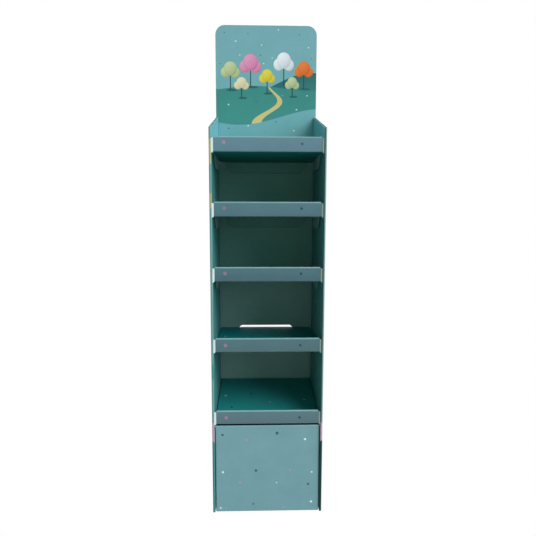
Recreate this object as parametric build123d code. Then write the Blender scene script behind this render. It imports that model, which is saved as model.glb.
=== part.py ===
"""Tall cardboard display stand.

A printed sheet folds into the back and the two double side walls. Four shelf
trays hang in it by ears at the front and a tongue at the back, three of them
level and the lowest of them with a slight rise. A fifth one slopes up to the
back on the flaps that stand on the base box. A header card stands behind the
top shelf.

X runs across the stand, Y from the open front to the back, Z up. The origin
is on the floor below the middle of the stand. Lengths are millimetres.
"""
from build123d import *
import math
import os

# Overall sizes
stand_width = 400.0
stand_depth = 320.0
side_top_back = 1481.0
side_top_front = 1382.0

# Board and how it folds
board = 3.0
layer_gap = 0.4
bend_radius = 2.6
tight_bend_radius = 1.65

# Double side walls
wall_span = 8.6
wall_end_gap = 0.4

# Shelves: underside heights at the front, rises to the back, and lip
hung_shelf_heights = (1302.3, 1084.0, 858.7, 605.3)
hung_shelf_rises = (0.0, 0.0, 0.0, 8.5)
sloped_shelf_height = 337.8
sloped_shelf_rise = 53.0
lip_height = 51.0
lip_recess = 3.6
lip_end_gap = 7.6
shelf_side_gap = 1.4
relief_slit = 4.0
back_gap = 0.3

# Ears that carry the front of a shelf
ear_reach = 12.2
ear_drop = 4.6
ear_foot_drop = 3.4
ear_chamfer = 5.0
ear_clearance = 0.8
ear_window = 1.0

# Flaps folded down from a shelf's sides and back
flap_drop = 43.0
side_flap_start = 66.0
side_flap_end = 262.0
side_flap_lead = 42.0
side_flap_tail = 67.0
side_flap_tail_rise = 11.0
flap_corner = 9.0
back_flap_inset = 25.4
back_flap_taper = 8.0
back_flap_corner = 34.0
sloped_flap_start = 104.0
sloped_flap_end = 268.0

# Tongue of a hung shelf and its slot in the back
tongue_inset = 60.0
tongue_relief = 1.5
tongue_setback = 0.4
slot_side_gap = 7.0
slot_head_room = 8.4
slot_foot_gap = 0.3
slot_taper = 10.0
slot_corner = 8.0

# Header card
header_rise = 350.0
header_corner_radius = 37.0
header_side_gap = 0.9
header_seat_gap = 0.3
header_neck_relief = 4.0

# Base box
base_side_gap = 2.2
base_recess = 5.0
base_top_gap = 6.3
base_front_foot = 0.5
base_return_length = 64.0
base_return_gap = 0.4
base_return_margin = 6.0
base_tuck_height = 52.0
base_seat_gap = 0.3

# Overrun of the cutters
overrun = 5.0

# Places worked out from the sizes
half_width = stand_width / 2
front = -stand_depth / 2
back = stand_depth / 2
back_face = back - board
bay_half = half_width - wall_span
cavity_half = half_width - board
wall_inner_half = bay_half + board


def offset_corners(points, distance):
    """Corners of a polyline moved sideways to its left by a distance."""
    moved = []
    for index, point in enumerate(points):
        before = (point - points[index - 1]).normalized() if index else None
        after = (points[index + 1] - point).normalized() if index < len(points) - 1 else None
        first = before or after
        second = after or before
        left_first = Vector(-first.Y, first.X)
        left_second = Vector(-second.Y, second.X)
        share = 1 + left_first.dot(left_second)
        moved.append(point + (left_first + left_second) * (distance / share))
    return moved


def folded_section(corners, radii, thickness=board):
    """Section of a folded sheet from the corners and bend radii of its middle line."""
    points = [Vector(*corner) for corner in corners]
    half = thickness / 2
    turns = []
    for index in range(1, len(points) - 1):
        before = points[index] - points[index - 1]
        after = points[index + 1] - points[index]
        turns.append(math.copysign(1, before.X * after.Y - before.Y * after.X))
    left = offset_corners(points, half)
    right = offset_corners(points, -half)
    left_radii = [radius - turn * half for radius, turn in zip(radii, turns)]
    right_radii = [radius + turn * half for radius, turn in zip(radii, turns)]
    left_edge = FilletPolyline(*left, radius=left_radii)
    right_edge = FilletPolyline(*reversed(right), radius=right_radii[::-1])
    ends = [Line(left[-1], right[-1]), Line(right[0], left[0])]
    return make_face(left_edge.edges() + right_edge.edges() + ends)


def outline(corners, radii=None):
    """Closed face from its corners, each rounded where a radius is given."""
    if radii is None:
        return make_face(Polyline(*corners, close=True))
    return make_face(FilletPolyline(*corners, radius=radii, close=True))


def across(face, start, end):
    """Solid of a face drawn in Y and Z, run along X."""
    plane = Plane(origin=(start, 0, 0), x_dir=(0, 1, 0), z_dir=(1, 0, 0))
    return extrude(plane * face, amount=end - start)


def along(face, start, end):
    """Solid of a face drawn in X and Z, run along Y."""
    plane = Plane(origin=(0, end, 0), x_dir=(1, 0, 0), z_dir=(0, -1, 0))
    return extrude(plane * face, amount=end - start)


def upright(face, start, end):
    """Solid of a face drawn in X and Y, run along Z."""
    return extrude(Pos(0, 0, start) * face, amount=end - start)


def block(x_range, y_range, z_range):
    """Plain block between three pairs of places."""
    sizes = [high - low for low, high in (x_range, y_range, z_range)]
    middle = [(high + low) / 2 for low, high in (x_range, y_range, z_range)]
    return Pos(*middle) * Box(*sizes)


def both_sides(solid):
    """The solid and its mirror image across the middle of the stand."""
    return [solid, mirror(solid, about=Plane.YZ)]


# Places that shelves and shell share
lip_front = front + lip_recess
lip_back = lip_front + 2 * board + layer_gap
lip_half = bay_half - lip_end_gap
ear_front = lip_front
ear_back = ear_front + board
ear_tip = lip_half + ear_reach
upper_offset = board + layer_gap
floor_top = upper_offset + board
panel_half = bay_half - relief_slit
flap_outside = bay_half - shelf_side_gap
flap_inside = flap_outside - board
back_flap_back = back_face - back_gap
back_flap_half = bay_half - back_flap_inset
tongue_half = back_flap_half - tongue_inset
base_top = sloped_shelf_height - base_top_gap


def shell():
    """Back and double side walls, folded from one sheet."""
    inner = bay_half + board / 2
    outer = half_width - board / 2
    edge = front + board / 2
    rear = back - board / 2
    wall_end = back_face - wall_end_gap
    half_sheet = [(inner, wall_end), (inner, edge), (outer, edge), (outer, rear)]
    other_half = [(-x, y) for x, y in reversed(half_sheet)]
    radii = [tight_bend_radius, bend_radius, bend_radius, bend_radius, bend_radius, tight_bend_radius]
    body = upright(folded_section(half_sheet + other_half, radii), 0, side_top_back)

    slope_cut = outline([
        (front - overrun, side_top_front),
        (front, side_top_front),
        (back_face, side_top_back),
        (back_face, side_top_back + overrun),
        (front - overrun, side_top_back + overrun),
    ])
    body -= across(slope_cut, -half_width - overrun, half_width + overrun)
    for height, rise in zip(hung_shelf_heights, hung_shelf_rises):
        body -= back_slot(height + rise)
    for height in hung_shelf_heights + (sloped_shelf_height,):
        for notch in both_sides(ear_notch(height)):
            body -= notch
    return body


def back_slot(height):
    """Opening in the back for the tongue of a shelf whose back is at this height."""
    foot = height + upper_offset - slot_foot_gap
    head = height + floor_top + slot_head_room
    wide = tongue_half + slot_side_gap
    corners = [(-wide, foot), (wide, foot), (wide - slot_taper, head), (slot_taper - wide, head)]
    square = slot_corner / 6
    face = outline(corners, [square, square, slot_corner, slot_corner])
    return along(face, back_face - overrun, back + overrun)


def ear_notch(height):
    """Notch in the inner wall and its front fold for the ear at this height."""
    low = height - ear_foot_drop - ear_clearance
    high = height + lip_height - ear_drop + ear_clearance
    window = block(
        (bay_half - overrun, bay_half + ear_window),
        (front - overrun, lip_back + ear_clearance),
        (low, high),
    )
    passage = block(
        (bay_half - overrun, wall_inner_half + layer_gap),
        (front + board, lip_back + ear_clearance),
        (low, high),
    )
    return window + passage


def header():
    """Card that stands on the top shelf and rises behind it as the header."""
    seat = hung_shelf_heights[0] + hung_shelf_rises[0] + floor_top + header_seat_gap
    shoulder = side_top_back + header_seat_gap
    top = side_top_back + header_rise
    neck = bay_half - header_side_gap
    right = [
        (neck, seat),
        (neck, shoulder - header_neck_relief),
        (neck - header_neck_relief / 2, shoulder - header_neck_relief / 2),
        (neck, shoulder),
        (half_width, shoulder),
        (half_width, top),
    ]
    left = [(-x, z) for x, z in reversed(right)]
    small = layer_gap / 2
    radii = [small] * (len(right) - 1) + [header_corner_radius] * 2 + [small] * (len(left) - 1)
    front_face = back_face - layer_gap - board
    return along(outline(right + left, radii), front_face, front_face + board)


def side_flap(start, end, drop):
    """Plain flap folded down from the right side of a level floor at height 0."""
    fold_level = upper_offset + board / 2
    reach = flap_outside - board / 2
    corners = [(panel_half - board, fold_level), (reach, fold_level), (reach, -drop)]
    return along(folded_section(corners, [bend_radius]), front + start, front + end)


def tapered_side_flap():
    """Side flap of a hung shelf, cut back at its front and at its rear corner."""
    start = front + side_flap_start
    end = front + side_flap_end
    keep = outline([
        (start, floor_top + overrun),
        (start, 0),
        (start + side_flap_lead, -flap_drop),
        (end - side_flap_tail, -flap_drop),
        (end, side_flap_tail_rise - flap_drop),
        (end, floor_top + overrun),
    ], [flap_corner / 3, flap_corner, flap_corner, flap_corner, flap_corner, flap_corner / 3])
    return side_flap(side_flap_start, side_flap_end, flap_drop) & across(keep, 0, half_width)


def back_flap(height, drop, with_tongue):
    """Flap folded down from a shelf's back edge, with the tongue cut out of it."""
    middle = back_flap_back - board / 2
    level = height + upper_offset + board / 2
    start = middle - 2 * bend_radius
    section = folded_section([(start, level), (middle, level), (middle, level - drop)], [bend_radius])
    half_top = back_flap_half
    half_foot = half_top - back_flap_taper
    flap = across(section, -half_top, half_top)
    keep = outline([
        (-half_top, level + overrun),
        (-half_top, level - bend_radius),
        (-half_foot, level - drop),
        (half_foot, level - drop),
        (half_top, level - bend_radius),
        (half_top, level + overrun),
    ], [flap_corner / 3, flap_corner, back_flap_corner, back_flap_corner, flap_corner, flap_corner / 3])
    flap &= along(keep, start - overrun, back)
    if with_tongue:
        window_half = tongue_half + tongue_relief
        flap -= block(
            (-window_half, window_half),
            (start + tongue_relief, back),
            (level - board - tongue_relief * 2, level + overrun),
        )
        flap += block(
            (-tongue_half, tongue_half),
            (start - board, back - tongue_setback),
            (level - board / 2, level + board / 2),
        )
    return flap


def ear(height):
    """Ear at the right end of a lip's outer layer, which hooks down below the lip."""
    low = height - ear_foot_drop
    root_low = height + tight_bend_radius + board / 2
    high = height + lip_height - ear_drop
    face = outline([
        (lip_half - board, root_low),
        (lip_half, root_low),
        (lip_half + ear_chamfer, low),
        (ear_tip, low),
        (ear_tip, high),
        (lip_half - board, high),
    ])
    return along(face, ear_front, ear_back)


def tray(height, rise, flaps, back_drop, with_tongue):
    """Shelf folded from one sheet: double floor, double lip, ears and flaps."""
    lower_back = back_flap_back - board - layer_gap
    upper_back = back_flap_back - board / 2 - bend_radius
    lip_outer = lip_front + board / 2
    lip_inner = lip_back - board / 2
    run = upper_back - lip_outer
    slope = math.atan2(rise, run)
    low_level = height + board / 2
    layer_step = (board + layer_gap) / math.cos(slope)

    def floor_level(y, layer):
        return low_level + layer * layer_step + (y - lip_outer) * math.tan(slope)

    corners = [
        (lower_back, floor_level(lower_back, 0)),
        (lip_outer, floor_level(lip_outer, 0)),
        (lip_outer, height + lip_height - board / 2),
        (lip_inner, height + lip_height - board / 2),
        (lip_inner, floor_level(lip_inner, 1)),
        (upper_back, floor_level(upper_back, 1)),
    ]
    radii = [tight_bend_radius] * 4
    body = across(folded_section(corners, radii), -panel_half, panel_half)
    corner_end = lip_back + ear_clearance + board
    trim = block(
        (lip_half, half_width),
        (front - overrun, corner_end),
        (height - board - overrun, height + lip_height + overrun),
    )
    for cut in both_sides(trim):
        body -= cut
    for piece in both_sides(ear(height)):
        body += piece

    hinge = Pos(0, lip_outer, height) * Rot(X=math.degrees(slope)) * Pos(0, -lip_outer, 0)
    for piece in both_sides(hinge * flaps):
        body += piece
    body += back_flap(height + rise, back_drop, with_tongue)
    return body


def hung_shelf(height, rise):
    """Shelf that hangs by its ears in front and rests by a tongue in the back."""
    back_drop = flap_drop + upper_offset + board / 2
    return tray(height, rise, tapered_side_flap(), back_drop, True)


def sloped_shelf():
    """Lowest shelf, which slopes up to the back on flaps that stand on the base box."""
    seat = base_top + base_seat_gap
    stand = sloped_shelf_height + sloped_shelf_rise + upper_offset + board / 2 - seat
    flaps = side_flap(sloped_flap_start, sloped_flap_end, stand + overrun)
    body = tray(sloped_shelf_height, sloped_shelf_rise, flaps, stand, False)
    return body - block((-half_width, half_width), (lip_back, back), (0, seat))


def base_box():
    """Box below the lowest shelf: front, top, back and bottom wrapped from one sheet."""
    face = front + base_recess + board / 2
    rear = back_face - back_gap - board / 2
    tuck = face + board + layer_gap
    top = base_top - board / 2
    loop = [
        (face, base_front_foot),
        (face, top),
        (rear, top),
        (rear, board / 2),
        (tuck, board / 2),
        (tuck, base_tuck_height),
    ]
    half_base = bay_half - base_side_gap
    half_loop = half_base - board - base_return_gap
    radii = [tight_bend_radius] + [bend_radius] * 3
    body = across(folded_section(loop, radii), -half_base, half_base)
    return_top = base_top - base_return_margin
    return_side = half_base - board / 2
    bend_start = return_side - bend_radius
    side_trim = block(
        (half_loop, half_width),
        (face - board, back),
        (-overrun, return_top + base_return_gap),
    )
    corner_trim = block(
        (bend_start, half_width),
        (face - board, face + board / 2 + layer_gap / 2),
        (-overrun, return_top),
    )
    for cut in both_sides(side_trim) + both_sides(corner_trim):
        body -= cut
    corners = [
        (bend_start - board, face),
        (return_side, face),
        (return_side, face + base_return_length),
    ]
    side_return = upright(folded_section(corners, [bend_radius]), base_front_foot, return_top)
    for piece in both_sides(side_return):
        body += piece
    return body


def write(name, shape):
    """Write one piece to its file."""
    export_step(shape, "parts/" + name + ".step")


os.makedirs("parts", exist_ok=True)
write("outer_shell", shell())
write("header_card", header())
for number, (shelf_height, shelf_rise) in enumerate(zip(hung_shelf_heights, hung_shelf_rises), start=1):
    write("shelf_" + str(number), hung_shelf(shelf_height, shelf_rise))
write("shelf_" + str(len(hung_shelf_heights) + 1), sloped_shelf())
write("base_box", base_box())
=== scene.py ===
import math
from functools import cached_property

import bpy
from mathutils import Matrix, Vector


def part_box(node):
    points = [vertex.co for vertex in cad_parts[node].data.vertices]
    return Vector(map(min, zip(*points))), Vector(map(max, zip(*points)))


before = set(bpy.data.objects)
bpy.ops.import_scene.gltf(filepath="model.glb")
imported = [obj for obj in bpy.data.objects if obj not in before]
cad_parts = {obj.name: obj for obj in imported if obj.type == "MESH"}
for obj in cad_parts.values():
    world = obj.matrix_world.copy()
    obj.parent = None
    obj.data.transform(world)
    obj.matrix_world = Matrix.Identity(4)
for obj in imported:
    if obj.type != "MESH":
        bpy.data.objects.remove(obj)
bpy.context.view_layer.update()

MM = 0.001


def metres(*lengths):
    """Lengths given in millimetres, in metres."""
    return tuple(length * MM for length in lengths)


# Sizes of the board and its folds, and the slope of the sides' top edges
BOARD = 3.0 * MM
LAYER_GAP = 0.4 * MM
FLUTE_PITCH = 6.5 * MM
RIPPLE_DEPTH = 0.012 * MM
WALL_SPAN = 8.6 * MM
TOP_SLOPE = 0.3115
LIP_HEIGHT = 51.0 * MM
LIP_RECESS = 3.6 * MM
LIP_END_GAP = 7.6 * MM
RELIEF_SLIT = 4.0 * MM
SHELF_SIDE_GAP = 1.4 * MM
BACK_FLAP_INSET = 25.4 * MM
BACK_FLAP_DROP = 43.0 * MM
BACK_FLAP_CORNER = 34.0 * MM
FLOOR_RISES = metres(0.0, 0.0, 0.0, 8.5, 53.0)
SEAT_RISE = 6.0 * MM
BASE_RECESS = 5.0 * MM
RETURN_MARGIN = 6.0 * MM

# Places read from the frame, and what follows from them and the sizes
SHELL_LOW, SHELL_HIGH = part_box("outer_shell")
HEADER_LOW, HEADER_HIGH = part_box("header_card")
BASE_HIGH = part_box("base_box")[1]
LIP_1_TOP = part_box("shelf_1")[1].z
BAY_4_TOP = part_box("shelf_3")[0].z
BASE_HALF = BASE_HIGH.x
BASE_TOP = BASE_HIGH.z
HALF_WIDTH = SHELL_HIGH.x
FRONT = SHELL_LOW.y
BACK = SHELL_HIGH.y
SHOULDER = SHELL_HIGH.z
BACK_FACE = BACK - BOARD
BAY_HALF = HALF_WIDTH - WALL_SPAN
CAVITY_MIDDLE = HALF_WIDTH - WALL_SPAN / 2
LIP_FRONT = FRONT + LIP_RECESS
LIP_BACK = LIP_FRONT + 2 * BOARD + LAYER_GAP
LIP_HALF = BAY_HALF - LIP_END_GAP
PANEL_HALF = BAY_HALF - RELIEF_SLIT
FLAP_INSIDE = BAY_HALF - SHELF_SIDE_GAP - BOARD
BACK_FLAP_HALF = BAY_HALF - BACK_FLAP_INSET
BASE_FACE = FRONT + BASE_RECESS

# Margin round a place, and the depths that take in a sheet's outer face, a whole flap and a bend
NEAR = 0.5 * MM
FACE_DEPTH = 0.6 * BOARD
FLAP_DEPTH = 1.3 * BOARD
BEND_DEPTH = 1.6 * BOARD

# Share of a surface's direction that makes it face one way, be a shell's cut end, and face it more
FACING = 0.3
SHELL_END = 0.35
MOSTLY = 0.5
SQUARELY = 0.9


def ink(red, green, blue):
    """Scene-linear colour of a printed colour given in 0 to 255."""
    steps = [value / 255 for value in (red, green, blue)]
    return tuple(((s + 0.055) / 1.055) ** 2.4 if s > 0.04045 else s / 12.92 for s in steps) + (1.0,)


# Inks of the print, and two colours of painted light and shade: the lips' highlight and the darker wall
# teal in the bays
SKY = ink(117, 166, 174)
LOW_SKY = ink(112, 170, 174)
HIGH_SKY = ink(116, 165, 174)
MIST = ink(111, 172, 178)
HILL = ink(58, 134, 128)
FAR_HILL = ink(38, 98, 98)
DEEP_GREEN = ink(8, 52, 48)
STREAM = ink(66, 144, 136)
PATH = ink(214, 198, 130)
FAR_PATH = ink(196, 186, 122)
RING = ink(176, 170, 122)
RING_SHADE = ink(160, 162, 120)
ROSE = ink(178, 150, 168)
STEM = ink(44, 62, 58)
WHITE_INK = ink(218, 232, 234)
DARK_INK = ink(42, 88, 92)
PINK_INK = ink(160, 134, 152)
SPINE_TEAL = ink(104, 151, 148)
SPINE_GREY = ink(104, 140, 136)
SPINE_DARK = ink(30, 68, 66)
WALL_TEAL = ink(108, 176, 186)
# Darker copy of the wall teal as painted shade in the bays, also the light green of the left side's hill
# by its front fold
BAY_SHADE_AND_HILL_TEAL = ink(69, 131, 130)
TRAY_TEAL = ink(2, 126, 129)
LOW_FLOOR_TEAL = ink(30, 122, 122)
UNDER_TEAL = ink(12, 117, 109)
# Painted highlight along the lips' top folds, where light catches the rounded fold
LIP_FOLD_HIGHLIGHT = ink(116, 158, 160)
PANEL_TEAL = ink(114, 156, 163)

# Bare papers: the plain liner and the white of the ears, darker copies of them with painted shade where
# they sit in shade, and the cut edge, whose hollows are painted dark as shade
LINER = ink(176, 178, 172)
# Liner of the back's bay side, darker and greener as painted shade with painted reflected teal light,
# less dark in the lowest bays
BAY_SHADED_LINER = ink(121, 164, 154)
LOW_BAY_SHADED_LINER = ink(142, 171, 165)
# Liner inside the walls' cavity, darker and teal as painted shade
CAVITY_SHADED_LINER = ink(112, 150, 150)
# Liner of the side flaps' insides and of the back's creases, darker as painted shade
FLAP_SHADED_LINER = ink(124, 156, 149)
# Liner of the back flap's front, darker still as painted shade where it stands close to the back
REAR_FLAP_SHADED_LINER = ink(108, 157, 146)
EAR_WHITE = ink(212, 228, 230)
# Right ears: the ears' white with painted shade, where the wall's front edge shades them
EAR_PAINTED_SHADE = ink(160, 174, 164)
# Painted shadow in the slit at each ear's root
EAR_ROOT_SHADOW = ink(104, 122, 116)
EDGE_LINER = ink(150, 202, 206)
FLUTE_PAPER = ink(136, 184, 188)
# Painted shade in the hollows of a cut edge
HOLLOW = ink(70, 108, 112)


class Field:
    """A value that changes over a surface, with the arithmetic of the shader's maths nodes."""

    def __init__(self, tree, socket):
        self.tree = tree
        self.socket = socket

    def maths(self, operation, *others, clamp=False):
        node = self.tree.nodes.new("ShaderNodeMath")
        node.operation = operation
        node.use_clamp = clamp
        for place, value in enumerate((self,) + others):
            feed(self.tree, value, node.inputs[place])
        return Field(self.tree, node.outputs[0])

    def __add__(self, other):
        return self.maths("ADD", other)

    def __sub__(self, other):
        return self.maths("SUBTRACT", other)

    def __rsub__(self, other):
        return self.maths("MULTIPLY_ADD", -1.0, other)

    def __mul__(self, other):
        return self.maths("MULTIPLY", other)

    def __truediv__(self, other):
        return self.maths("DIVIDE", other)

    def __abs__(self):
        return self.maths("ABSOLUTE")

    def __neg__(self):
        return self.maths("MULTIPLY", -1.0)

    def __invert__(self):
        return self.maths("MULTIPLY_ADD", -1.0, 1.0)

    def __and__(self, other):
        return self.maths("MULTIPLY", other)

    def __or__(self, other):
        return self.maths("MAXIMUM", other)

    def above(self, limit):
        return self.maths("GREATER_THAN", limit)

    def below(self, limit):
        return self.maths("LESS_THAN", limit)

    def near(self, value, reach):
        return self.maths("COMPARE", value, reach)

    def between(self, low, high):
        return self.above(low) & self.below(high)

    def rising(self, start, end):
        """0 up to start, 1 from end, and straight between them."""
        span = end - start
        return self.maths("MULTIPLY_ADD", 1 / span, -start / span, clamp=True)

    def sine(self, length, start=0.0):
        """Sine wave of a length, from a start."""
        turn = 2 * math.pi / length
        return self.maths("MULTIPLY_ADD", turn, -start * turn).maths("SINE")


def feed(tree, value, socket):
    """Link a field to a socket, or set a plain value there."""
    if isinstance(value, Field):
        tree.links.new(value.socket, socket)
    else:
        socket.default_value = value


# Places of a mix node's factor, its two colours and its mixed colour among its sockets
MIX_FACTOR = 0
MIX_FIRST = 6
MIX_SECOND = 7
MIX_RESULT = 2


def layer(below, mask, above):
    """Colour of a second ink over a first one where the mask is 1."""
    tree = mask.tree
    node = tree.nodes.new("ShaderNodeMix")
    node.data_type = "RGBA"
    feed(tree, mask, node.inputs[MIX_FACTOR])
    feed(tree, below, node.inputs[MIX_FIRST])
    feed(tree, above, node.inputs[MIX_SECOND])
    return Field(tree, node.outputs[MIX_RESULT])


def layer_value(first, mask, second):
    """Second value where the mask is 1, else the first."""
    return first + (second - first) * mask


def joined(tree, x, y, z=0.0):
    """Vector from three fields or values."""
    node = tree.nodes.new("ShaderNodeCombineXYZ")
    for value, socket in zip((x, y, z), node.inputs):
        feed(tree, value, socket)
    return Field(tree, node.outputs[0])


def split(tree, socket):
    """Three fields of a vector socket."""
    node = tree.nodes.new("ShaderNodeSeparateXYZ")
    tree.links.new(socket, node.inputs[0])
    return [Field(tree, output) for output in node.outputs]


def noise(vector, scale, detail=2.0):
    """Noise of the given scale at a vector field."""
    tree = vector.tree
    node = tree.nodes.new("ShaderNodeTexNoise")
    feed(tree, vector, node.inputs["Vector"])
    node.inputs["Scale"].default_value = scale
    node.inputs["Detail"].default_value = detail
    return Field(tree, node.outputs[0])


def start_group(name, inputs, outputs):
    """New shader group with named sockets: its tree, its input fields and its exit node."""
    tree = bpy.data.node_groups.new(name, "ShaderNodeTree")
    for direction, sockets in (("INPUT", inputs), ("OUTPUT", outputs)):
        for label, kind in sockets.items():
            tree.interface.new_socket(label, in_out=direction, socket_type="NodeSocket" + kind)
    entry = tree.nodes.new("NodeGroupInput")
    leave = tree.nodes.new("NodeGroupOutput")
    fields = {label: Field(tree, entry.outputs[label]) for label in inputs}
    return tree, fields, leave


def use(group, tree, **values):
    """Place a group in a tree and give its output fields by name."""
    node = tree.nodes.new("ShaderNodeGroup")
    node.node_tree = group
    for label, value in values.items():
        feed(tree, value, node.inputs[label.replace("_", " ")])
    return {output.name: Field(tree, output) for output in node.outputs}


# Half the softness of a printed edge, and the soft light on a printed round form
PRINT_EDGE = 0.15 * MM
LIGHT_FROM_ABOVE = 0.34
LIGHT_FROM_LEFT = 0.20
LIGHT_LEVEL = 0.58
RIM_START = 0.55
RIM_END = 1.05
RIM_SHADE = 0.22


def make_round_spot():
    """Ellipse of ink with a crisp edge, and the soft light of a round form on it."""
    floats = ["U", "V", "Centre U", "Centre V", "Half Width", "Half Height"]
    outputs = {"Mask": "Float", "Shade": "Float"}
    tree, given, leave = start_group("Round Spot", dict.fromkeys(floats, "Float"), outputs)
    across = (given["U"] - given["Centre U"]) / given["Half Width"]
    upward = (given["V"] - given["Centre V"]) / given["Half Height"]
    distance = (across * across + upward * upward).maths("SQRT")
    edge = (~distance) * given["Half Height"]
    feed(tree, edge.rising(-PRINT_EDGE, PRINT_EDGE), leave.inputs["Mask"])
    lit = upward * LIGHT_FROM_ABOVE - across * LIGHT_FROM_LEFT + LIGHT_LEVEL
    rim = distance.rising(RIM_START, RIM_END) * RIM_SHADE
    feed(tree, (lit - rim).maths("MULTIPLY", 1.0, clamp=True), leave.inputs["Shade"])
    return tree


def make_wave_line():
    """Mask of what lies below a long wave, with the distance above it."""
    floats = ["U", "V", "Height", "Swing", "Length", "Start"]
    outputs = {"Mask": "Float", "Distance": "Float"}
    tree, given, leave = start_group("Wave Line", dict.fromkeys(floats, "Float"), outputs)
    turn = (given["U"] - given["Start"]) / given["Length"] * (2 * math.pi)
    crest = given["Height"] + given["Swing"] * turn.maths("SINE")
    distance = given["V"] - crest
    feed(tree, distance, leave.inputs["Distance"])
    feed(tree, ~distance.rising(-PRINT_EDGE, PRINT_EDGE), leave.inputs["Mask"])
    return tree


# Looseness of the scattered dots, and their least radius and its spread as shares of the given one
DOT_LOOSENESS = 0.75
LEAST_RADIUS_SHARE = 0.55
RADIUS_SPREAD_SHARE = 0.7


def make_scattered_dots():
    """Loose dots of mixed sizes: a mask and a random kind for each dot."""
    floats = ["U", "V", "Spacing", "Radius", "Share"]
    outputs = {"Mask": "Float", "Kind": "Float"}
    tree, given, leave = start_group("Scattered Dots", dict.fromkeys(floats, "Float"), outputs)
    cells = tree.nodes.new("ShaderNodeTexVoronoi")
    cells.voronoi_dimensions = "2D"
    cells.feature = "F1"
    cells.inputs["Scale"].default_value = 1.0
    cells.inputs["Randomness"].default_value = DOT_LOOSENESS
    place = joined(tree, given["U"] / given["Spacing"], given["V"] / given["Spacing"])
    feed(tree, place, cells.inputs["Vector"])
    distance = Field(tree, cells.outputs["Distance"]) * given["Spacing"]
    kind, size, chance = split(tree, cells.outputs["Color"])
    radius = given["Radius"] * (size * RADIUS_SPREAD_SHARE + LEAST_RADIUS_SHARE)
    edge = (radius - distance).rising(-PRINT_EDGE, PRINT_EDGE)
    feed(tree, edge & chance.maths("LESS_THAN", given["Share"]), leave.inputs["Mask"])
    feed(tree, kind, leave.inputs["Kind"])
    return tree


# Fibres, specks and clouds of the paper: their scales, their tints, and their rise in millimetres
FIBRE_SCALE = 1500.0
SPECK_SCALE = 420.0
CLOUD_SCALE = 16.0
FIBRE_TINT = 0.10
SPECK_TINT = 0.05
CLOUD_TINT = 0.16
FIBRE_RISE = 0.02
SPECK_RISE = 0.03


def make_paper_grain():
    """Fibres, specks and slow clouds of paper: a tone about 1 and a height in metres."""
    inputs = {"Place": "Vector", "Strength": "Float"}
    tree, given, leave = start_group("Paper Grain", inputs, {"Tone": "Float", "Height": "Float"})
    fibre = noise(given["Place"], FIBRE_SCALE, 3.0) - 0.5
    cloud = noise(given["Place"], CLOUD_SCALE, 4.0) - 0.5
    speck = noise(given["Place"], SPECK_SCALE) - 0.5
    tint = fibre * FIBRE_TINT + cloud * CLOUD_TINT + speck * SPECK_TINT
    feed(tree, tint * given["Strength"] + 1.0, leave.inputs["Tone"])
    rise = fibre * FIBRE_RISE + speck * SPECK_RISE
    feed(tree, rise * given["Strength"] * MM, leave.inputs["Height"])
    return tree


def make_washboard():
    """Ripple that the flutes leave in the sheet above them."""
    floats = dict.fromkeys(["Across", "Pitch", "Depth"], "Float")
    tree, given, leave = start_group("Washboard", floats, {"Height": "Float"})
    turn = given["Across"] / given["Pitch"] * (2 * math.pi)
    feed(tree, turn.maths("SINE") * given["Depth"], leave.inputs["Height"])
    return tree


# Cut edge: the flute's swing and slope, where its paper and the liner fade, and the hollows' depth
FLUTE_SWING_SHARE = 0.38
FLUTE_SLOPE_SHARE = 0.75
FLUTE_FULL = 0.10 * MM
FLUTE_END = 0.30 * MM
LINER_FULL = 0.22 * MM
LINER_END = 0.42 * MM
HOLLOW_DEPTH = 0.5 * MM


def make_board_edge():
    """Cut edge of the board: two liners, the fluted sheet between them and the hollows, painted dark as
    shade.
    """
    floats = dict.fromkeys(["Along", "Through", "Thickness", "Pitch"], "Float")
    outputs = {"Colour": "Color", "Height": "Float"}
    tree, given, leave = start_group("Board Edge", floats, outputs)
    turn = given["Along"] / given["Pitch"] * (2 * math.pi)
    swing = given["Thickness"] * FLUTE_SWING_SHARE
    distance = abs(given["Through"] - turn.maths("SINE") * swing)
    steep = abs(turn.maths("COSINE")) * FLUTE_SLOPE_SHARE + 1.0
    flute = ~(distance / steep).rising(FLUTE_FULL, FLUTE_END)
    liner = (abs(given["Through"]) - given["Thickness"] * 0.5).rising(-LINER_END, -LINER_FULL)
    # The hollows between flutes and liners are painted dark as shade
    colour = layer(layer(HOLLOW, flute, FLUTE_PAPER), liner, EDGE_LINER)
    feed(tree, colour, leave.inputs["Colour"])
    feed(tree, ((flute | liner) - 1.0) * HOLLOW_DEPTH, leave.inputs["Height"])
    return tree


# Rubbed ink: scales of its patches and flecks, and the noise from which each starts and is full
PATCH_SCALE = 35.0
PATCH_RANGE = (0.40, 0.72)
FLECK_SCALE = 700.0
FLECK_RANGE = (0.42, 0.62)


def make_rubbed_fold():
    """Uneven rubbing of the ink along a fold: 1 where bare paper shows through."""
    inputs = {"Place": "Vector", "Distance": "Float", "Reach": "Float", "Amount": "Float"}
    tree, given, leave = start_group("Rubbed Fold", inputs, {"Mask": "Float"})
    closeness = (~(abs(given["Distance"]) / given["Reach"])).maths("MAXIMUM", 0.0)
    patch = noise(given["Place"], PATCH_SCALE, 4.0).rising(*PATCH_RANGE)
    fleck = noise(given["Place"], FLECK_SCALE).rising(*FLECK_RANGE)
    feed(tree, closeness * patch * fleck * given["Amount"], leave.inputs["Mask"])
    return tree


ROUND_SPOT = make_round_spot()
WAVE_LINE = make_wave_line()
SCATTERED_DOTS = make_scattered_dots()
PAPER_GRAIN = make_paper_grain()
WASHBOARD = make_washboard()
BOARD_EDGE = make_board_edge()
RUBBED_FOLD = make_rubbed_fold()

# Shares of the scattered dots that are white, and that are white or dark
WHITE_DOT_SHARE = 0.45
PLAIN_DOT_SHARE = 0.78


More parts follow.
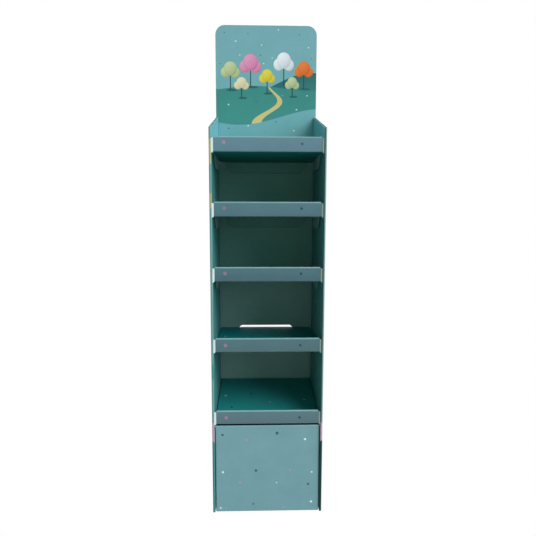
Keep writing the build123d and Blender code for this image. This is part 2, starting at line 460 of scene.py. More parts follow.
def spot(colour, u, v, centre, halves, shades):
    """Lay a round form over a colour: one ink, or a dark and a light one for soft light."""
    made = use(
        ROUND_SPOT, u.tree, U=u, V=v, Centre_U=centre[0], Centre_V=centre[1],
        Half_Width=halves[0], Half_Height=halves[1],
    )
    filling = layer(shades[0], made["Shade"], shades[1]) if len(shades) == 2 else shades[0]
    return layer(colour, made["Mask"], filling)


def wave(u, v, height, swing, length, start=0.0):
    """Outputs of the wave line group at a place."""
    return use(WAVE_LINE, u.tree, U=u, V=v, Height=height, Swing=swing, Length=length, Start=start)


def hill(colour, u, v, line, fade, low, high):
    """Lay a hill below a wave over a colour, whose ink changes over a depth below its crest."""
    made = wave(u, v, *line)
    return layer(colour, made["Mask"], layer(low, made["Distance"].rising(-fade, 0.0), high))


def ribbon(colour, u, v, line, half, upper, lower):
    """Lay a winding band over a colour, shaded towards its lower edge."""
    distance = wave(u, v, *line)["Distance"]
    mask = ~abs(distance).rising(half - PRINT_EDGE, half + PRINT_EDGE)
    return layer(colour, mask, layer(lower, distance.rising(-half, half), upper))


def dots(colour, u, v, spacing, radius, share):
    """Scatter white, dark and pink dots over a colour."""
    made = use(SCATTERED_DOTS, u.tree, U=u, V=v, Spacing=spacing, Radius=radius, Share=share)
    plain = layer(WHITE_INK, made["Kind"].above(WHITE_DOT_SHARE), DARK_INK)
    tint = layer(plain, made["Kind"].above(PLAIN_DOT_SHARE), PINK_INK)
    return layer(colour, made["Mask"], tint)


def placed_dots(colour, u, v, places):
    """Lay single dots over a colour, each given as ink, place and radius in millimetres."""
    for tint, across, upward, radius in places:
        colour = spot(colour, u, v, metres(across, upward), metres(radius, radius), (tint,))
    return colour


def board_edge(along, through):
    """Colour and height of a cut edge of the board."""
    return use(
        BOARD_EDGE, through.tree, Along=along, Through=through, Thickness=BOARD, Pitch=FLUTE_PITCH,
    )


def flute_ripple(across):
    """Height of the ripple in the sheet above the flutes."""
    return use(WASHBOARD, across.tree, Across=across, Pitch=FLUTE_PITCH, Depth=RIPPLE_DEPTH)["Height"]


def rubbed_fold(place, distance, reach, amount):
    """Mask of the ink that is rubbed off within reach of a fold."""
    made = use(RUBBED_FOLD, place.tree, Place=place, Distance=distance, Reach=reach, Amount=amount)
    return made["Mask"]


class Surface:
    """New material, with the place and the direction of the surface that it shades."""

    def __init__(self, name):
        self.material = bpy.data.materials.new(name)
        self.material.use_nodes = True
        self.tree = self.material.node_tree
        self.tree.nodes.clear()
        coordinates = self.tree.nodes.new("ShaderNodeTexCoord")
        self.place = Field(self.tree, coordinates.outputs["Object"])
        self.x, self.y, self.z = split(self.tree, self.place.socket)
        self.from_middle = abs(self.x)
        self.nx, self.ny, self.nz = split(self.tree, coordinates.outputs["Normal"])

    @cached_property
    def outward(self):
        """How far the surface faces away from the middle."""
        return self.nx * self.x.maths("SIGN")


# Shine of the board: plain gloss, roughness of bare paper, what its grain adds and print takes away
SPECULAR = 0.18
PAPER_ROUGHNESS = 0.52
GRAIN_ROUGHNESS = 0.30
PRINT_SMOOTHNESS = 0.34


def finish_board(board, printed, raw, ink_colour, liner_colour, edge, ripple, rubbed):
    """Put print, bare liner and cut edges together in one shader, and give the material."""
    tree = board.tree
    grain = use(PAPER_GRAIN, tree, Place=board.place, Strength=1.0)
    worn = layer(ink_colour, rubbed, EAR_WHITE)
    face = layer(liner_colour, printed, worn)
    toned = tree.nodes.new("ShaderNodeVectorMath")
    toned.operation = "SCALE"
    feed(tree, face, toned.inputs[0])
    feed(tree, grain["Tone"], toned.inputs["Scale"])
    colour = layer(Field(tree, toned.outputs[0]), raw, edge["Colour"])

    height = (ripple + grain["Height"]) * (~raw) + edge["Height"] * raw
    bump = tree.nodes.new("ShaderNodeBump")
    bump.inputs["Strength"].default_value = 1.0
    bump.inputs["Distance"].default_value = 1.0
    feed(tree, height, bump.inputs["Height"])

    smooth = printed & (~raw) & (~rubbed)
    roughness = smooth * -PRINT_SMOOTHNESS + grain["Tone"] * GRAIN_ROUGHNESS + PAPER_ROUGHNESS

    shader = tree.nodes.new("ShaderNodeBsdfPrincipled")
    shader.inputs["Specular IOR Level"].default_value = SPECULAR
    feed(tree, colour, shader.inputs["Base Color"])
    feed(tree, roughness, shader.inputs["Roughness"])
    tree.links.new(bump.outputs["Normal"], shader.inputs["Normal"])
    output = tree.nodes.new("ShaderNodeOutputMaterial")
    tree.links.new(shader.outputs[0], output.inputs["Surface"])
    return board.material


# Art on the outside of the side walls: U runs back from the front edge, V up
STREAM_LOW = 511 * MM
STREAM_HIGH = 566 * MM
STREAM_HALF = (STREAM_HIGH - STREAM_LOW) / 2
STREAM_WAVE = ((STREAM_LOW + STREAM_HIGH) / 2, 34 * MM, 420 * MM)
ROSE_WAVE = metres(341, -70, 620)
HILL_WAVE = metres(277, 46, 380)
NEAR_HILL_HEIGHT = 120 * MM
NEAR_HILL_SUNK = 40 * MM
NEAR_HILL_RUN = 120 * MM
NEAR_HILL_SWING = -38 * MM
NEAR_HILL_LENGTH = 300 * MM
NEAR_HILL_START = 30 * MM
RING_CENTRE = metres(0, 1227.5)
RING_HALVES = metres(118, 116.5)
HOLE_CENTRE = metres(0, 1212)
HOLE_HALVES = metres(58, 50)

# Scattered dots outside the walls and in the bays: spacing, radius and the share that is there
SIDE_DOTS = (82 * MM, 3.6 * MM, 0.8)
WALL_DOTS = (120 * MM, 3.4 * MM, 0.55)

# Where the print changes round the front fold and in the bays
SPINE_BORDER = 4.0 * MM
GREY_WRAP = 5.2 * MM
GREEN_WRAP = 3.4 * MM
BAY_WRAP = WALL_SPAN + 1.5 * MM

# Print that reaches onto the bare back, and how its edge wanders
REAR_BLEED = 12.0 * MM
BLEED_WANDER = 1.2 * MM
BLEED_SCALE = 60.0

# Crease of the back panel beside the walls: distance, half width and depth
BACK_CREASE = 7.5 * MM
CREASE_HALF = 0.8 * MM
CREASE_DEPTH = 0.25 * MM

# Rubbed folds: reach and amount
WALL_FOLD_RUB = (2.2 * MM, 0.5)
WALL_TOP_RUB = (2.5 * MM, 0.6)
LIP_TOP_RUB = (2.4 * MM, 0.55)
LIP_FOOT_RUB = (2.4 * MM, 0.4)
BASE_TOP_RUB = (2.6 * MM, 0.6)
CARD_EDGE_RUB = (2.0 * MM, 0.5)


def side_ring(colour, u, v, left):
    """Lay a ring over the left wall's colour."""
    hole = use(
        ROUND_SPOT, u.tree, U=u, V=v, Centre_U=HOLE_CENTRE[0], Centre_V=HOLE_CENTRE[1],
        Half_Width=HOLE_HALVES[0], Half_Height=HOLE_HALVES[1],
    )
    ring = spot(colour, u, v, RING_CENTRE, RING_HALVES, (RING_SHADE, RING))
    return layer(colour, left & (~hole["Mask"]), ring)


def side_art(u, v, left):
    """Hills, a stream, a ring and dots on a side wall, and the border along its front fold."""
    colour = dots(SKY, u, v, *SIDE_DOTS)
    right_border = layer(SPINE_DARK, u.above(-GREY_WRAP), SPINE_GREY)
    border = layer(right_border, left, SPINE_TEAL)
    colour = layer(colour, u.below(SPINE_BORDER), border)
    colour = side_ring(colour, u, v, left)
    stream = ribbon(colour, u, v, STREAM_WAVE, STREAM_HALF, STREAM, HILL)
    colour = layer(colour, left | u.above(0.0), stream)
    colour = layer(colour, wave(u, v, *ROSE_WAVE)["Mask"], ROSE)
    left_green = layer(BAY_SHADE_AND_HILL_TEAL, u.above(-GREEN_WRAP), FAR_HILL)
    green = layer(DEEP_GREEN, left, left_green)
    colour = layer(colour, wave(u, v, *HILL_WAVE)["Mask"], green)
    near_rise = u.rising(0.0, NEAR_HILL_RUN).maths("SQRT")
    near_height = near_rise * (NEAR_HILL_HEIGHT + NEAR_HILL_SUNK) - NEAR_HILL_SUNK
    near_line = (near_height, NEAR_HILL_SWING, NEAR_HILL_LENGTH, NEAR_HILL_START)
    return hill(colour, u, v, near_line, NEAR_HILL_HEIGHT, HILL, STREAM)


def shell_print(board):
    """Ink of the shell: side art outside and round the front fold, plain teal in the bays, darker below
    the top shelf as painted shade.
    """
    unrolled = (board.y - FRONT) * board.outward.maths("SIGN") - (HALF_WIDTH - board.from_middle)
    art = side_art(unrolled, board.z, board.x.below(0.0))
    # Painted shade: below the top shelf's lip the bays' walls take a darker copy of the wall teal
    wall_ink_and_shade = layer(BAY_SHADE_AND_HILL_TEAL, board.z.rising(LIP_1_TOP - LIP_HEIGHT, LIP_1_TOP), WALL_TEAL)
    inner = dots(wall_ink_and_shade, unrolled, board.z, *WALL_DOTS)
    return layer(art, unrolled.below(-BAY_WRAP), inner)


def shell_liner(board, on_wall, crease):
    """Bare paper of the shell: outside of the back, its bay side, its creases, the wall's cavity. The
    bay side, the creases and the cavity have painted shade.
    """
    # Painted shade: the back's bay side is a darker, greener copy of the liner, less dark in the lowest
    # bays
    in_bay = board.ny.below(-MOSTLY) & (~on_wall)
    low_bay = board.z.rising(BAY_4_TOP - LIP_HEIGHT, BAY_4_TOP + LIP_HEIGHT)
    bay_shaded_liner = layer(LOW_BAY_SHADED_LINER, low_bay, BAY_SHADED_LINER)
    # Painted shade: the creases take the flaps' darker liner
    liner = layer(layer(LINER, in_bay, bay_shaded_liner), crease, FLAP_SHADED_LINER)
    # Painted shade: the wall's cavity takes a darker liner
    return layer(liner, on_wall, CAVITY_SHADED_LINER)


def shell_rubbing(board):
    """Ink rubbed off along the shell's folds and its sloped top edges."""
    to_side = HALF_WIDTH - board.from_middle
    front_rub = rubbed_fold(board.place, abs(board.y - FRONT) | to_side, *WALL_FOLD_RUB)
    rear_rub = rubbed_fold(board.place, abs(board.y - BACK) | to_side, *WALL_FOLD_RUB)
    top_line = board.z - SHOULDER - (board.y - BACK) * TOP_SLOPE
    return front_rub | rear_rub | rubbed_fold(board.place, top_line, *WALL_TOP_RUB)


def shell_material():
    """Back and side walls: print outside and round the front, bare liner on the back, with painted shade
    in the bays.
    """
    board = Surface("printed_shell_board")
    x, y, ax = board.x, board.y, board.from_middle
    ny = board.ny
    sheet_face = (board.outward * (ax - CAVITY_MIDDLE)).above(0.0)
    wall_zone = y.below(BACK_FACE - NEAR / 2) | ax.above(BAY_HALF - NEAR)
    spine = ny.below(-MOSTLY) & y.below(FRONT + BOARD / 2)
    rear = ny.above(MOSTLY) & y.above(BACK - BOARD / 2)
    wander = noise(board.place, BLEED_SCALE) * BLEED_WANDER
    bleed = rear & (ax + wander).above(HALF_WIDTH - REAR_BLEED)
    printed = (sheet_face & wall_zone) | spine | bleed

    slot_side = abs(ny).below(MOSTLY) & y.above(BACK_FACE + NEAR / 2) & ax.below(BAY_HALF)
    in_notch = y.between(FRONT + BOARD, BACK_FACE - NEAR) & ax.above(BAY_HALF - NEAR)
    raw = abs(board.nz).above(SHELL_END) | slot_side | (ny.below(-MOSTLY) & in_notch)

    on_wall = y.below(BACK_FACE - NEAR)
    wall_through = abs(ax - CAVITY_MIDDLE) - (WALL_SPAN - BOARD) / 2
    back_through = y - (BACK - BOARD / 2)
    through = wall_through * on_wall + back_through * (~on_wall)
    along = y * on_wall + x * (~on_wall)
    crease = ax.near(BAY_HALF - BACK_CREASE, CREASE_HALF) & (~on_wall)
    ripple = flute_ripple(along) - crease * CREASE_DEPTH
    liner = shell_liner(board, on_wall, crease)
    edge = board_edge(along, through)
    return finish_board(
        board, printed, raw, shell_print(board), liner, edge, ripple, shell_rubbing(board),
    )


# Dots of the lips in millimetres: place across and radius
ROSE_ACROSS = -149
ROSE_RADIUS = 6.3
DARK_ACROSS = 116
DARK_RADIUS = 4.5

# Colours of each shelf's lip, a little different on each shelf: its upper part and its darker lower
# part, then ink and height of its two dots
LIP_TONES = {
    1: (ink(97, 132, 144), ink(92, 126, 138), ink(156, 130, 151), 31, ink(54, 90, 98), 27),
    2: (ink(84, 119, 127), ink(79, 110, 120), ink(128, 118, 140), 29, ink(32, 68, 74), 28),
    3: (ink(78, 113, 120), ink(71, 101, 110), ink(138, 119, 130), 29, ink(32, 68, 74), 28),
    4: (ink(83, 115, 122), ink(79, 108, 114), ink(148, 119, 142), 25, ink(34, 70, 76), 25),
    5: (ink(90, 120, 128), ink(87, 113, 120), ink(154, 118, 146), 25, ink(38, 74, 80), 24),
}
# Painted highlight along the lip's top fold: the height where it starts, up to which the lip's colour
# changes, and where it is full
HIGHLIGHT_FOOT = 46.0 * MM
HIGHLIGHT_HEAD = 47.6 * MM

# Dots of the floors in millimetres: ink, across, back from the front, radius
FLOOR_WHITE = ink(152, 186, 190)
FLOOR_DARK = ink(14, 62, 64)
FLOOR_PINK = ink(112, 122, 134)
FLOOR_DOTS = (
    (FLOOR_WHITE, -162, 180, 4.6), (FLOOR_DARK, -61, 193, 4.4), (FLOOR_PINK, 13, 135, 4.8),
    (FLOOR_WHITE, 148, 148, 4.2), (FLOOR_DARK, -134, 100, 4.4), (FLOOR_DARK, 96, 236, 4.0),
    (FLOOR_WHITE, 62, 70, 3.6),
)

# Painted shadow at the root of an ear on the left and on the right, and painted shadow along the rim of
# the back flap's corner
EAR_SHADOW_WIDTH = 1.4 * MM
RIGHT_EAR_SHADOW_WIDTH = 3.2 * MM
FLAP_SHADOW_INSIDE = 2.0 * MM
FLAP_SHADOW_OUTSIDE = 0.5 * MM


def tray_print(board, number, level, on_lip):
    """Ink of a shelf tray: its lip with a painted highlight along its top and two dots, its floor and
    its undersides.
    """
    upper, lower, rose, rose_up, dark, dark_up = LIP_TONES[number]
    lip_dots = ((rose, ROSE_ACROSS, rose_up, ROSE_RADIUS), (dark, DARK_ACROSS, dark_up, DARK_RADIUS))
    lip_colour = layer(lower, level.rising(0.0, HIGHLIGHT_FOOT), upper)
    lip_colour = placed_dots(lip_colour, board.x, level, lip_dots)
    # Painted highlight: a lighter band along the lip's top fold
    lip_colour = layer(lip_colour, level.rising(HIGHLIGHT_FOOT, HIGHLIGHT_HEAD), LIP_FOLD_HIGHLIGHT)
    floor_ink = LOW_FLOOR_TEAL if number == len(FLOOR_RISES) else TRAY_TEAL
    floor_colour = placed_dots(floor_ink, board.x, board.y - FRONT, FLOOR_DOTS)
    on_floor = board.nz.above(FACING) & (~on_lip)
    return layer(layer(UNDER_TEAL, on_floor, floor_colour), on_lip, lip_colour)


def tray_liner(board, height_at_back, ear_face, flap_inner, back_inner):
    """Bare paper of a tray: its ears, the insides of its side flaps and of its back flap, with painted
    shade on the right ears, at the ears' roots, on the flaps' insides and round the back flap's corner.
    """
    ax = board.from_middle
    # Painted shadow: a dark rim in the underside's teal along the back flap's rounded corner
    past_side = (ax - (BACK_FLAP_HALF - BACK_FLAP_CORNER)).maths("MAXIMUM", 0.0)
    past_foot = (-height_at_back - (BACK_FLAP_DROP - BACK_FLAP_CORNER)).maths("MAXIMUM", 0.0)
    from_corner = (past_side * past_side + past_foot * past_foot).maths("SQRT")
    rim = from_corner.rising(BACK_FLAP_CORNER - FLAP_SHADOW_INSIDE, BACK_FLAP_CORNER - FLAP_SHADOW_OUTSIDE)
    # Painted shade: the flaps' insides are darker copies of the liner
    rear_flap_shaded_liner = layer(REAR_FLAP_SHADED_LINER, rim, UNDER_TEAL)
    flap_shaded_liner = layer(FLAP_SHADED_LINER, back_inner, rear_flap_shaded_liner)
    right = board.x.above(0.0)
    # Painted shadow: a dark line at each ear's root, wider on the right
    ear_line = ax.below(right * (RIGHT_EAR_SHADOW_WIDTH - EAR_SHADOW_WIDTH) + (LIP_HALF + EAR_SHADOW_WIDTH))
    # Painted shade on the right ears and painted shadow at every ear's root
    ear_paper_and_shade = layer(layer(EAR_WHITE, right, EAR_PAINTED_SHADE), ear_line, EAR_ROOT_SHADOW)
    return layer(layer(LINER, back_inner | flap_inner, flap_shaded_liner), ear_face, ear_paper_and_shade)


def tray_through(board, level, rise, in_lip):
    """Distance from the middle of the sheet in a tray's lip, floor or side flap."""
    to_layer = (BOARD + LAYER_GAP) / 2
    floor_level = level - (board.y - LIP_FRONT) * (rise / (BACK_FACE - LIP_FRONT))
    lip_through = abs(board.y - (LIP_FRONT + LIP_BACK) / 2) - to_layer
    floor_through = abs(floor_level - (2 * BOARD + LAYER_GAP) / 2) - to_layer
    flap_through = board.from_middle - (FLAP_INSIDE + BOARD / 2)
    on_flap = board.from_middle.above(PANEL_HALF + NEAR) & (~in_lip)
    return layer_value(layer_value(floor_through, on_flap, flap_through), in_lip, lip_through)


def tray_material(number, height, rise):
    """One shelf tray: printed lip and floor, a painted highlight along the lip's top, bare ears and flap
    insides with painted shade, cut ends.
    """
    board = Surface("printed_tray_board_" + str(number))
    y, ax = board.y, board.from_middle
    level = board.z - height
    faces_up = board.nz.above(FACING)
    faces_back = board.ny.above(FACING)
    faces_front = board.ny.below(-FACING)
    in_lip = y.below(LIP_BACK + NEAR)
    on_ear = ax.above(LIP_HALF + NEAR) & in_lip

    lip_front = faces_front & y.below(LIP_FRONT + FACE_DEPTH) & (~on_ear)
    lip_top = faces_up & level.above(LIP_HEIGHT - BEND_DEPTH) & in_lip & (~on_ear)
    lip_rear = faces_back & y.between(LIP_BACK - FACE_DEPTH, LIP_BACK + NEAR)
    floors = abs(board.nz).above(FACING) & y.between(LIP_FRONT, BACK_FACE - BOARD) & (~on_ear)
    floors = floors & abs(board.nx).below(SQUARELY)
    flap_outer = board.outward.above(FACING) & ax.above(FLAP_INSIDE + BOARD / 2) & y.above(LIP_BACK)
    flap_rear = faces_back & y.above(BACK_FACE - FACE_DEPTH)
    flap_fold = faces_up & y.above(BACK_FACE - BOARD - NEAR) & level.above(0.0)
    printed = lip_front | lip_top | lip_rear | floors | flap_outer | flap_rear | flap_fold

    ear_face = abs(board.ny).above(MOSTLY) & on_ear
    flap_inner = board.outward.below(-FACING) & ax.between(FLAP_INSIDE - NEAR, FLAP_INSIDE + BOARD / 2)
    back_inner = faces_front & y.above(BACK_FACE - FLAP_DEPTH)
    raw = ~(printed | ear_face | (flap_inner & y.above(LIP_BACK)) | back_inner)

    on_lip = y.below(LIP_BACK - BOARD) | (lip_top & y.below(LIP_BACK))
    ink_colour = tray_print(board, number, level, on_lip)
    liner = tray_liner(board, level - rise, ear_face, flap_inner, back_inner)
    along = layer_value(y, in_lip, level)
    edge = board_edge(along, tray_through(board, level, rise, in_lip))
    to_front = abs(y - LIP_FRONT)
    top_rub = rubbed_fold(board.place, abs(level - LIP_HEIGHT) | to_front, *LIP_TOP_RUB)
    foot_rub = rubbed_fold(board.place, abs(level) | to_front, *LIP_FOOT_RUB)
    ripple = flute_ripple(along)
    return finish_board(board, printed, raw, ink_colour, liner, edge, ripple, top_rub | foot_rub)


# Painted light and shade on the base: lighter along its front's left edge, darker along its right edge,
# and dark on its top behind the fold
# Painted light: the front's left edge, which turns away from the lamps, drawn lighter
LEFT_EDGE_PAINTED_LIGHT = ink(124, 176, 178)
CORNER_REACH = 2.4 * MM
# Painted shade towards the front's right edge, where it bends back, fading out near the floor
RIGHT_EDGE_PAINTED_SHADE = ink(88, 116, 110)
SHADE_REACH = 8.0 * MM
SHADE_LOW = 60.0 * MM
SHADE_HIGH = 190.0 * MM
# Painted shadow on the top behind the fold, under the lowest shelf
TOP_PAINTED_SHADOW = ink(14, 40, 42)

# Dots of the base front in millimetres: ink, across, up, radius
BASE_DARK = ink(52, 98, 100)
BASE_PINK = ink(153, 150, 174)
BASE_DOTS = (
    (BASE_DARK, -163, 297, 4.6), (BASE_PINK, -77, 277, 5.8), (BASE_DARK, 35, 302, 5.6),
    (WHITE_INK, 137, 278, 4.0), (WHITE_INK, -163, 154, 4.2), (BASE_DARK, -42, 159, 4.8),
    (BASE_PINK, 83, 160, 4.8), (WHITE_INK, 163, 151, 3.2), (BASE_PINK, -101, 114, 5.4),
    (WHITE_INK, 34, 111, 2.4), (BASE_DARK, 150, 104, 4.4), (WHITE_INK, 162, 35, 4.2),
    (HILL, -52, 29, 4.6), (BASE_PINK, 60, 14, 4.2), (WHITE_INK, -172, 14, 3.4),
)


def base_print(board, front_face, top_face):
    """Ink of the base box: dots on its front, painted light on its left edge, painted shade on its right
    edge and painted shadow on its top.
    """
    # Painted light along the front's left edge
    corner = board.x.below(CORNER_REACH - BASE_HALF) & front_face
    colour = layer(placed_dots(PANEL_TEAL, board.x, board.z, BASE_DOTS), corner, LEFT_EDGE_PAINTED_LIGHT)
    # Painted shade: the front darkens towards its right edge, less near the floor
    shade_across = board.x.rising(BASE_HALF - SHADE_REACH, BASE_HALF)
    shade_up = board.z.rising(SHADE_LOW, SHADE_HIGH)
    colour = layer(colour, shade_across & shade_up & front_face, RIGHT_EDGE_PAINTED_SHADE)
    # Painted shadow: the top behind the fold is nearly black
    return layer(colour, top_face & board.y.above(BASE_FACE + BOARD), TOP_PAINTED_SHADOW)


def base_material():
    """Box below the lowest shelf: print all round outside, bare liner inside."""
    board = Surface("printed_base_board")
    x, y, z, ax = board.x, board.y, board.z, board.from_middle
    front_face = board.ny.below(-FACING) & y.below(BASE_FACE + FACE_DEPTH)
    top_face = board.nz.above(FACING) & z.above(BASE_TOP - FACE_DEPTH)
    rear_face = board.ny.above(FACING) & y.above(BACK_FACE - BOARD)
    return_zone = ax.above(BASE_HALF - FACE_DEPTH) & z.below(BASE_TOP - RETURN_MARGIN)
    return_face = board.outward.above(FACING) & return_zone
    under_face = board.nz.below(-MOSTLY) & z.below(NEAR / 4)
    printed = front_face | top_face | rear_face | return_face | under_face

    return_inner = board.outward.below(-FACING) & ax.above(BASE_HALF - BOARD - LAYER_GAP)
    top_inner = board.nz.below(-MOSTLY) & z.above(BASE_TOP - FLAP_DEPTH)
    front_inner = board.ny.above(FACING) & y.below(0.0)
    raw = ~(printed | return_inner | top_inner | front_inner)

    front_through = y - BASE_FACE - BOARD / 2
    top_through = z - BASE_TOP + BOARD / 2
    edge = board_edge(x + y, layer_value(front_through, z.above(BASE_TOP - BOARD), top_through))
    top_fold = abs(z - BASE_TOP) | abs(y - BASE_FACE)
    rubbed = rubbed_fold(board.place, top_fold, *BASE_TOP_RUB)
    ink_colour = base_print(board, front_face, top_face)
    return finish_board(board, printed, raw, ink_colour, LINER, edge, flute_ripple(x), rubbed)


# Round trees of the header in millimetres above the shoulder: centre, halves, foot, dark and light ink
TREES = (
    ((-62, 206), (35, 38), 116, (ink(190, 106, 146), ink(230, 160, 194))),
    ((70, 214), (33, 37), 124, (ink(184, 194, 200), ink(238, 242, 246))),
    ((-142, 182), (31, 33), 104, (ink(146, 164, 116), ink(206, 216, 166))),
    ((150, 186), (30, 32), 110, (ink(196, 92, 36), ink(236, 134, 58))),
    ((4, 158), (26, 28), 92, (ink(190, 176, 40), ink(228, 216, 84))),
    ((-98, 130), (24, 25), 74, (ink(198, 188, 142), ink(234, 226, 190))),
    ((104, 132), (23, 25), 80, (ink(140, 160, 118), ink(200, 214, 166))),
)

# Lobes of a crown as shares of its halves: across, up and size
LOBE_SHARES = ((-0.62, -0.30, 0.62), (0.62, -0.34, 0.60), (0.0, 0.12, 0.84))
STEM_HALF = 1.9 * MM
SHADOW_OFFSET = 5.0 * MM
SHADOW_HALF_HEIGHT = 4.5 * MM
SHADOW_SHARE = 0.7

# Path of the header: its bends, its lean and place at the top, and how it widens downwards
PATH_BEND_LENGTH = 150 * MM
PATH_BEND_START = 20 * MM
PATH_BEND_SWING = 34 * MM
PATH_TOP = 118 * MM
PATH_END = 117 * MM
PATH_TOP_ACROSS = 38 * MM
PATH_LEAN = 0.30
PATH_TOP_HALF = 3.5 * MM
PATH_WIDENING = 0.115

# Ground of the header: where the sky changes, and the waves of its hills with their fades
SKY_RANGE = metres(100, 360)
BACK_HILL_WAVE = metres(128, 44, 560, 40)
BACK_HILL_FADE = 110 * MM
MEADOW_WAVE = metres(112, 9, 430, -150)
MEADOW_FADE = 130 * MM
SWELL_WAVE = metres(2, 32, 680, 60)

# Dots of the header in millimetres above the shoulder: ink, across, up, radius
HEADER_DOTS = (
    (WHITE_INK, 48, 334, 2.4), (DARK_INK, -165, 322, 2.0), (WHITE_INK, -120, 290, 2.6),
    (PINK_INK, -174, 250, 2.4), (DARK_INK, 132, 316, 2.0), (WHITE_INK, -18, 276, 2.4),
    (PINK_INK, 24, 300, 2.6), (DARK_INK, -72, 318, 2.0), (WHITE_INK, 168, 268, 2.4),
    (DARK_INK, -22, 238, 2.2), (WHITE_INK, -104, 238, 2.2), (PINK_INK, 118, 252, 2.4),
    (WHITE_INK, 24, 228, 2.0), (DARK_INK, 178, 226, 2.0), (DARK_INK, -182, 204, 2.0),
    (WHITE_INK, -10, 206, 2.2), (WHITE_INK, -150, 48, 2.8), (WHITE_INK, 122, 30, 2.8),
    (PINK_INK, 66, 84, 2.4), (DARK_INK, -40, 60, 2.4), (WHITE_INK, 164, 84, 2.4),
    (WHITE_INK, -72, -34, 2.8), (DARK_INK, 40, -18, 2.4), (DARK_INK, -150, -44, 2.6),
    (WHITE_INK, 112, -52, 2.8), (PINK_INK, -8, -58, 2.6),
)


def header_tree(colour, u, v, centre, halves, foot, shades):
    """Lay one round tree over a colour: its shadow, stem and crown of three soft lobes."""
    middle, crown_up, foot_up = metres(centre[0], centre[1], foot)
    half_wide, half_high = metres(*halves)
    shadow = (half_wide * SHADOW_SHARE, SHADOW_HALF_HEIGHT)
    colour = spot(colour, u, v, (middle + SHADOW_OFFSET, foot_up), shadow, (FAR_HILL,))
    trunk = abs(u - middle).below(STEM_HALF) & v.between(foot_up, crown_up)
    colour = layer(colour, trunk, STEM)
    for across, upward, share in LOBE_SHARES:
        place = (middle + across * half_wide, crown_up + upward * half_high)
        colour = spot(colour, u, v, place, (half_wide * share, half_high * share), shades)
    return colour


def header_path(colour, u, v):
    """Lay a path over a colour that winds up the meadow and narrows towards the far hill."""
    bend = v.sine(PATH_BEND_LENGTH, PATH_BEND_START) * PATH_BEND_SWING
    middle = bend + (v - PATH_TOP) * PATH_LEAN + PATH_TOP_ACROSS
    half = (PATH_TOP - v) * PATH_WIDENING + PATH_TOP_HALF
    mask = (half - abs(u - middle)).rising(-PRINT_EDGE, PRINT_EDGE) & v.below(PATH_END)
    return layer(colour, mask, layer(PATH, v.rising(0.0, PATH_END), FAR_PATH))


def header_art(u, v):
    """Sky, hills, a winding path and round trees. V is the height above the shoulder."""
    colour = layer(LOW_SKY, v.rising(*SKY_RANGE), HIGH_SKY)
    colour = hill(colour, u, v, BACK_HILL_WAVE, BACK_HILL_FADE, HILL, FAR_HILL)
    colour = hill(colour, u, v, MEADOW_WAVE, MEADOW_FADE, STREAM, HILL)
    colour = header_path(colour, u, v)
    for centre, halves, foot, shades in TREES:
        colour = header_tree(colour, u, v, centre, halves, foot, shades)
    colour = layer(colour, wave(u, v, *SWELL_WAVE)["Mask"], MIST)
    return placed_dots(colour, u, v, HEADER_DOTS)


def header_material():
    """Header card: the picture in front, bare liner behind, cut edge all round."""
    board = Surface("printed_header_board")
    printed = board.ny.below(-MOSTLY)
    raw = ~(abs(board.ny).above(MOSTLY))
    picture = header_art(board.x, board.z - SHOULDER)
    edge = board_edge(board.x, board.y - (HEADER_LOW.y + HEADER_HIGH.y) / 2)
    from_edge = (HALF_WIDTH - board.from_middle).maths("MINIMUM", HEADER_HIGH.z - board.z)
    rubbed = rubbed_fold(board.place, from_edge, *CARD_EDGE_RUB)
    return finish_board(board, printed, raw, picture, LINER, edge, flute_ripple(board.x), rubbed)


def dress(node, material):
    """Give a CAD node its material."""
    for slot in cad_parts[node].material_slots:
        slot.material = material


def dress_stand():
    """Give every node its board."""
    dress("outer_shell", shell_material())
    dress("header_card", header_material())
    dress("base_box", base_material())
    for number, rise in enumerate(FLOOR_RISES, start=1):
        node = "shelf_" + str(number)
        low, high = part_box(node)
        height = high.z - LIP_HEIGHT if number < len(FLOOR_RISES) else low.z + SEAT_RISE
        dress(node, tray_material(number, height, rise))


# Studio floor and world
FLOOR_HALF = 6.0
FLOOR_GREY = (0.40, 0.40, 0.40, 1.0)
PLAIN_WHITE = (1.0, 1.0, 1.0, 1.0)
WORLD_STRENGTH = 0.45
WORLD_COLOUR = (0.74, 1.0, 0.92, 1.0)

# Lamps: degrees round from the front and above the floor, strength, colour and spread in degrees
LAMPS = {
    "key_lamp": (54.0, 44.0, 2.95, (1.0, 0.84, 0.86), 44.0),
    "low_lamp": (54.0, 15.0, 1.15, (0.75, 0.92, 1.0), 40.0),
    "rear_lamp": (222.0, 30.0, 1.3, (1.0, 0.98, 0.96), 40.0),
}


def seen_white(tree, shader, white_kind):
    """Mix a surface or the world with plain white for what the camera, gloss and glass see."""
    path = tree.nodes.new("ShaderNodeLightPath")
    seen = Field(tree, path.outputs["Is Camera Ray"]) | Field(tree, path.outputs["Is Glossy Ray"])
    seen = seen | Field(tree, path.outputs["Is Transmission Ray"])
    white = tree.nodes.new(white_kind)
    white.inputs["Strength"].default_value = 1.0
    white.inputs["Color"].default_value = PLAIN_WHITE
    mixed = tree.nodes.new("ShaderNodeMixShader")
    feed(tree, seen, mixed.inputs[0])
    tree.links.new(shader.outputs[0], mixed.inputs[1])
    tree.links.new(white.outputs[0], mixed.inputs[2])
    return mixed.outputs[0]


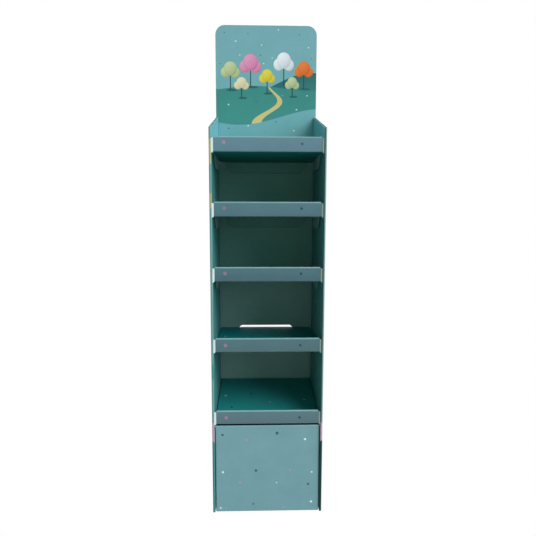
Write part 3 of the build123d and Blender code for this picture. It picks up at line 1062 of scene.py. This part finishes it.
def add_lamp(name, azimuth, height, strength, colour, spread):
    """Broad soft lamp, its angles in degrees."""
    lamp = bpy.data.lights.new(name, "SUN")
    lamp.energy = strength
    lamp.color = colour
    lamp.angle = math.radians(spread)
    holder = bpy.data.objects.new(name, lamp)
    round_angle = math.radians(azimuth)
    flat = math.cos(math.radians(height))
    rise = math.sin(math.radians(height))
    towards = Vector((math.sin(round_angle) * flat, -math.cos(round_angle) * flat, rise))
    holder.rotation_mode = "QUATERNION"
    holder.rotation_quaternion = towards.to_track_quat("Z", "Y")
    bpy.context.scene.collection.objects.link(holder)


def add_floor():
    """Pale floor that the camera sees as white."""
    mesh = bpy.data.meshes.new("studio_floor")
    corners = [(-1, -1), (1, -1), (1, 1), (-1, 1)]
    places = [(FLOOR_HALF * across, FLOOR_HALF * along, 0.0) for across, along in corners]
    mesh.from_pydata(places, [], [(0, 1, 2, 3)])
    floor = bpy.data.objects.new("studio_floor", mesh)
    bpy.context.scene.collection.objects.link(floor)
    material = bpy.data.materials.new("studio_floor")
    material.use_nodes = True
    tree = material.node_tree
    tree.nodes.clear()
    paint = tree.nodes.new("ShaderNodeBsdfDiffuse")
    paint.inputs["Color"].default_value = FLOOR_GREY
    output = tree.nodes.new("ShaderNodeOutputMaterial")
    tree.links.new(seen_white(tree, paint, "ShaderNodeEmission"), output.inputs["Surface"])
    mesh.materials.append(material)


def add_world():
    """Soft light from all round, in surroundings that the camera sees as white."""
    world = bpy.data.worlds.new("studio_world")
    bpy.context.scene.world = world
    world.use_nodes = True
    tree = world.node_tree
    tree.nodes.clear()
    soft = tree.nodes.new("ShaderNodeBackground")
    soft.inputs["Strength"].default_value = WORLD_STRENGTH
    soft.inputs["Color"].default_value = WORLD_COLOUR
    output = tree.nodes.new("ShaderNodeOutputWorld")
    tree.links.new(seen_white(tree, soft, "ShaderNodeBackground"), output.inputs["Surface"])


# Camera of the photograph
LENS_PIXELS = 454.38
IMAGE_PIXELS = 536
SENSOR = 36.0
CAMERA_PLACE = Vector((-0.0388, -1.7279, 1.0848))
CAMERA_PITCH = math.radians(6.467)
CAMERA_YAW = math.radians(1.447)
CAMERA_ROLL = math.radians(0.1)


def place_camera():
    """Camera at the photograph's place, direction and angle of view."""
    data = bpy.data.cameras.new("photo_camera")
    data.sensor_width = SENSOR
    data.lens = SENSOR * LENS_PIXELS / IMAGE_PIXELS
    camera = bpy.data.objects.new("photo_camera", data)
    bpy.context.scene.collection.objects.link(camera)
    flat = math.cos(CAMERA_PITCH)
    forward = Vector((math.sin(CAMERA_YAW) * flat, math.cos(CAMERA_YAW) * flat, -math.sin(CAMERA_PITCH)))
    right = Vector((math.cos(CAMERA_YAW), -math.sin(CAMERA_YAW), 0.0))
    up = right.cross(forward)
    rolled_right = right * math.cos(CAMERA_ROLL) + up * math.sin(CAMERA_ROLL)
    rolled_up = up * math.cos(CAMERA_ROLL) - right * math.sin(CAMERA_ROLL)
    turn = Matrix((rolled_right, rolled_up, -forward)).transposed().to_4x4()
    camera.matrix_world = Matrix.Translation(CAMERA_PLACE) @ turn
    bpy.context.scene.camera = camera


place_camera()
dress_stand()
add_floor()
add_world()
for lamp_name, lamp_values in LAMPS.items():
    add_lamp(lamp_name, *lamp_values)
bpy.context.scene.view_settings.view_transform = "Standard"
